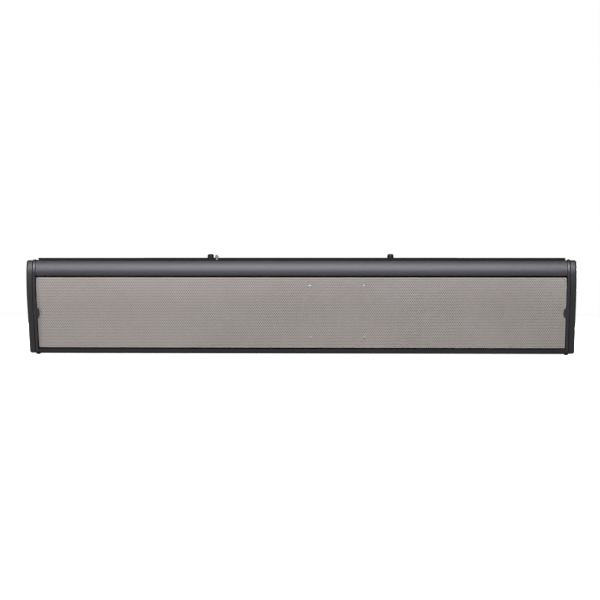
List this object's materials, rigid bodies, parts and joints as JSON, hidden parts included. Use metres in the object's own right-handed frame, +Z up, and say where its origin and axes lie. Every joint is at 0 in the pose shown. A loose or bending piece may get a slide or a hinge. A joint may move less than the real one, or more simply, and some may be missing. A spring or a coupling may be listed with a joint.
{
  "type": "soundbar",
  "caption": "Straight soundbar with a rounded top rail, a perforated grille that leans back to the bottom, two-part end caps and a top mounting plate with bolts.",
  "frame": {"origin": "on the ground, under the middle of the bar's box", "axes": "+Z up, the grille faces -Y, the length runs along X"},
  "size_m": [0.606, 0.084, 0.112],
  "materials": {
    "housing_paint": "satin powder coat on extruded aluminium",
    "ring_paint": "satin paint",
    "cap_plastic": "fine moulded texture",
    "cover_black": "matt powder coat",
    "bolt_black": "black oxide",
    "bright_steel": "nickel plated",
    "grille_paint": "satin paint on perforated sheet",
    "baffle_black": "moulded",
    "foam_black": "closed cell foam",
    "rubber_black": "moulded",
    "panel_black": "matt powder coat",
    "black_plastic": "moulded",
    "brass": "turned",
    "jack_nickel": "plated",
    "knob_plastic": "moulded, satin",
    "zinc_cast": "die cast",
    "board_green": "lacquered glass laminate",
    "fin_aluminium": "extruded, mill finish",
    "capacitor_sleeve": "shrink sleeve",
    "transformer_iron": "laminated and wound",
    "lead_sleeve": "soft insulation",
    "frame_black": "stamped steel, painted",
    "magnet_grey": "ferrite and plated steel",
    "cone_paper": "pressed pulp",
    "surround_rubber": "half roll",
    "spider_cloth": "resin dipped cloth",
    "trim_aluminium": "spun"
  },
  "bodies": {
    "bar": {"housing": "housing_paint", "end_ring_left": "ring_paint", "end_ring_right": "ring_paint", "end_cap_left": "cap_plastic", "end_cap_right": "cap_plastic", "end_cap_screws_left": "bolt_black", "end_cap_screws_right": "bolt_black", "feet": "rubber_black", "top_cover": "cover_black", "top_cover_screws": "bolt_black", "mounting_plate": "cover_black", "mounting_bolts": "bolt_black", "mounting_nuts": "bright_steel", "safety_stud": "bright_steel", "grille": "grille_paint", "front_baffle": "baffle_black", "baffle_gasket": "foam_black", "baffle_screws": "bolt_black", "chamber_wall_left": "baffle_black", "chamber_wall_right": "baffle_black", "input_panel": "panel_black", "input_panel_screws": "bolt_black", "mains_inlet": "black_plastic", "inlet_pins": "brass", "power_switch_body": "black_plastic", "phono_jacks": "jack_nickel", "line_in_jack": "black_plastic", "source_switch_body": "black_plastic", "volume_pot": "zinc_cast", "main_board": "board_green", "board_posts": "brass", "heatsink": "fin_aluminium", "board_capacitors": "capacitor_sleeve", "power_board": "board_green", "transformer": "transformer_iron", "wall_inserts": "brass", "speaker_leads": "lead_sleeve", "woofer_frame": "frame_black", "woofer_magnet": "magnet_grey", "woofer_surround": "surround_rubber", "woofer_spider": "spider_cloth", "woofer_trim_ring": "trim_aluminium", "woofer_screws": "bright_steel", "left_driver_frame": "frame_black", "left_driver_magnet": "magnet_grey", "left_driver_surround": "surround_rubber", "left_driver_spider": "spider_cloth", "left_driver_screws": "bolt_black", "right_driver_frame": "frame_black", "right_driver_magnet": "magnet_grey", "right_driver_surround": "surround_rubber", "right_driver_spider": "spider_cloth", "right_driver_screws": "bolt_black"},
    "woofer_moving": {"woofer_cone": "cone_paper"},
    "left_driver_moving": {"left_driver_cone": "cone_paper"},
    "right_driver_moving": {"right_driver_cone": "cone_paper"},
    "rocker": {"power_rocker": "black_plastic"},
    "volume_control": {"volume_knob": "knob_plastic", "volume_shaft": "zinc_cast"},
    "source_key": {"source_button": "black_plastic"}
  },
  "joints": [
    {"name": "woofer_travel", "type": "slide", "parent": "bar", "child": "woofer_moving", "axis": [0, -0.9548, -0.2974], "range_m": [-0.002, 0.002], "stiffness_N_per_m": 1500, "deforming": ["woofer_surround", "woofer_spider"]},
    {"name": "left_driver_travel", "type": "slide", "parent": "bar", "child": "left_driver_moving", "axis": [0, -0.9548, -0.2974], "range_m": [-0.0018, 0.0018], "stiffness_N_per_m": 1500, "deforming": ["left_driver_surround", "left_driver_spider"]},
    {"name": "right_driver_travel", "type": "slide", "parent": "bar", "child": "right_driver_moving", "axis": [0, -0.9548, -0.2974], "range_m": [-0.0018, 0.0018], "stiffness_N_per_m": 1500, "deforming": ["right_driver_surround", "right_driver_spider"]},
    {"name": "power_rocker_tip", "type": "hinge", "parent": "bar", "child": "rocker", "pos_m": [-0.117, 0.028, 0.0537], "axis": [1, 0, 0], "range_deg": [0, 14]},
    {"name": "volume_turn", "type": "hinge", "parent": "bar", "child": "volume_control", "pos_m": [-0.0455, 0.034, 0.0537], "axis": [0, 1, 0], "range_deg": [-150, 150]},
    {"name": "source_press", "type": "slide", "parent": "bar", "child": "source_key", "axis": [0, -1, 0], "range_m": [0, 0.0008], "stiffness_N_per_m": 800}
  ]
}
